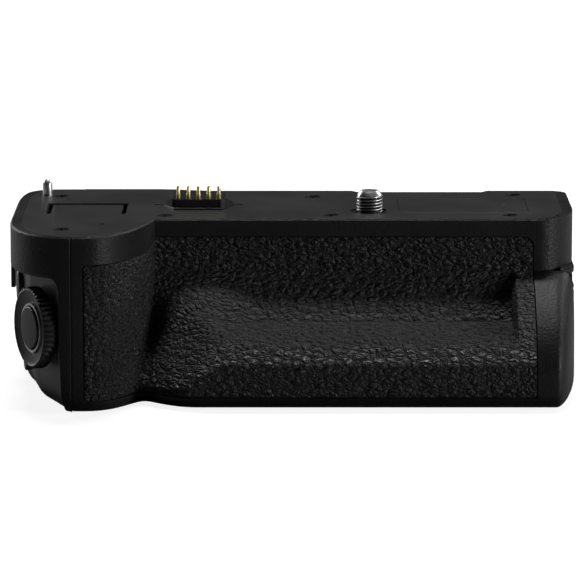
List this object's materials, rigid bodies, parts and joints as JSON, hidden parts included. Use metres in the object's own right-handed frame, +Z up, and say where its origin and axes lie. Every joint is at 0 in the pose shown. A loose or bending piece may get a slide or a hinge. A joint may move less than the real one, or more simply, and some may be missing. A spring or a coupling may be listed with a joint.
{
  "type": "camera battery grip",
  "caption": "Battery grip that screws under a camera, with a hand column, a shutter dial pad, a grain-covered vertical grip, a contact block and a hinged battery door.",
  "frame": {"origin": "on the camera screw's axis, at the plane of the camera seat", "axes": "+X along the body to the battery end, +Y to the rear, +Z up out of the seat along the camera screw"},
  "size_m": [0.1361, 0.076, 0.0473],
  "materials": {
    "shell": "fine matte texture",
    "seat": "satin paint",
    "grain": "deep grain",
    "rubber": "matte",
    "steel": "turned",
    "frame": "cast",
    "block": "smooth",
    "board": "circuit board",
    "control": "satin",
    "liner": "smooth",
    "catch": "smooth",
    "gold": "plated",
    "screw": "blackened"
  },
  "bodies": {
    "grip": {"front_shell": "shell", "rear_shell": "shell", "control_end_cover": "shell", "top_plate": "seat", "bottom_cover": "shell", "front_grip_cover": "grain", "rear_thumb_pad": "rubber", "label_plate": "seat", "cap_tray": "shell", "screw_bush": "screw", "wheel_axle": "steel", "chassis": "frame", "alignment_pin": "steel", "tripod_socket": "steel", "contact_block": "block", "main_board": "board", "dial_bushing": "frame", "shutter_switch": "block", "control_board": "board", "rear_dial_axle": "steel", "joystick_base": "block", "rear_board": "board", "battery_chamber": "liner", "door_hinge_pin": "steel", "contact_carrier": "block", "battery_terminals": "gold", "top_screws": "screw", "bottom_screws": "screw", "rear_screws": "screw"},
    "thumb_wheel": {"lock_wheel": "control"},
    "stud": {"camera_screw": "steel", "screw_gear": "steel"},
    "dial": {"front_dial": "control"},
    "shutter": {"shutter_button": "control"},
    "exposure": {"exposure_button": "control"},
    "sensitivity": {"sensitivity_button": "control"},
    "white_balance": {"white_balance_button": "control"},
    "control_lock": {"lock_switch": "control"},
    "thumb_dial": {"rear_dial": "control"},
    "gimbal": {"joystick_gimbal": "steel"},
    "stick": {"joystick": "rubber"},
    "focus": {"focus_button": "control"},
    "menu": {"menu_button": "control"},
    "door": {"battery_door": "shell", "door_seal": "rubber"},
    "latch": {"door_latch": "control"},
    "battery_catch": {"battery_lock": "catch"},
    "contact_1": {"contact_pin_1": "gold"},
    "contact_2": {"contact_pin_2": "gold"},
    "contact_3": {"contact_pin_3": "gold"},
    "contact_4": {"contact_pin_4": "gold"},
    "contact_5": {"contact_pin_5": "gold"}
  },
  "joints": [
    {"name": "wheel_spin", "type": "hinge", "parent": "grip", "child": "thumb_wheel", "pos_m": [0.0129, 0.01255, -0.014], "axis": [0, 0, 1], "continuous": true},
    {"name": "stud_spin", "type": "hinge", "parent": "grip", "child": "stud", "pos_m": [0, 0, 0], "axis": [0, 0, 1], "continuous": true},
    {"name": "dial_turn", "type": "hinge", "parent": "grip", "child": "dial", "pos_m": [-0.0773, -0.0294, -0.0228], "axis": [-0.8988, -0.4384, 0], "continuous": true},
    {"name": "shutter_press", "type": "slide", "parent": "grip", "child": "shutter", "axis": [0.8988, 0.4384, 0], "range_m": [0, 0.001], "stiffness_N_per_m": 400},
    {"name": "exposure_press", "type": "slide", "parent": "grip", "child": "exposure", "axis": [0.9819, 0.1892, 0], "range_m": [0, 0.0008], "stiffness_N_per_m": 400},
    {"name": "sensitivity_press", "type": "slide", "parent": "grip", "child": "sensitivity", "axis": [0.9819, 0.1892, 0], "range_m": [0, 0.0008], "stiffness_N_per_m": 400},
    {"name": "white_balance_press", "type": "slide", "parent": "grip", "child": "white_balance", "axis": [0.9819, 0.1892, 0], "range_m": [0, 0.0008], "stiffness_N_per_m": 400},
    {"name": "lock_slide", "type": "slide", "parent": "grip", "child": "control_lock", "axis": [0, 0, -1], "range_m": [0, 0.003]},
    {"name": "thumb_dial_turn", "type": "hinge", "parent": "grip", "child": "thumb_dial", "pos_m": [-0.07697, 0.0282, -0.0165], "axis": [1, 0, 0], "continuous": true},
    {"name": "stick_tilt", "type": "hinge", "parent": "grip", "child": "gimbal", "pos_m": [-0.06382, 0.0294, -0.0205], "axis": [1, 0, 0], "range_deg": [-8, 8], "stiffness_Nm_per_rad": 0.02},
    {"name": "stick_sway", "type": "hinge", "parent": "gimbal", "child": "stick", "pos_m": [-0.06382, 0.0294, -0.0205], "axis": [0, 0, 1], "range_deg": [-8, 8], "stiffness_Nm_per_rad": 0.02},
    {"name": "focus_press", "type": "slide", "parent": "grip", "child": "focus", "axis": [0, -1, 0], "range_m": [0, 0.0008], "stiffness_N_per_m": 400},
    {"name": "menu_press", "type": "slide", "parent": "grip", "child": "menu", "axis": [0, -1, 0], "range_m": [0, 0.0008], "stiffness_N_per_m": 400},
    {"name": "door_swing", "type": "hinge", "parent": "grip", "child": "door", "pos_m": [0.04693, 0, -0.0162], "axis": [0, -1, 0], "range_deg": [0, 100]},
    {"name": "latch_slide", "type": "slide", "parent": "door", "child": "latch", "axis": [0, -1, 0], "range_m": [0, 0.003]},
    {"name": "catch_slide", "type": "slide", "parent": "grip", "child": "battery_catch", "axis": [0, -1, 0], "range_m": [0, 0.0014], "stiffness_N_per_m": 300},
    {"name": "contact_1_press", "type": "slide", "parent": "grip", "child": "contact_1", "axis": [0, 0, -1], "range_m": [0, 0.0012], "stiffness_N_per_m": 300},
    {"name": "contact_2_press", "type": "slide", "parent": "grip", "child": "contact_2", "axis": [0, 0, -1], "range_m": [0, 0.0012], "stiffness_N_per_m": 300},
    {"name": "contact_3_press", "type": "slide", "parent": "grip", "child": "contact_3", "axis": [0, 0, -1], "range_m": [0, 0.0012], "stiffness_N_per_m": 300},
    {"name": "contact_4_press", "type": "slide", "parent": "grip", "child": "contact_4", "axis": [0, 0, -1], "range_m": [0, 0.0012], "stiffness_N_per_m": 300},
    {"name": "contact_5_press", "type": "slide", "parent": "grip", "child": "contact_5", "axis": [0, 0, -1], "range_m": [0, 0.0012], "stiffness_N_per_m": 300}
  ],
  "couplings": [
    {"joint": "stud_spin", "follows": "wheel_spin", "ratio": -1.1429}
  ]
}
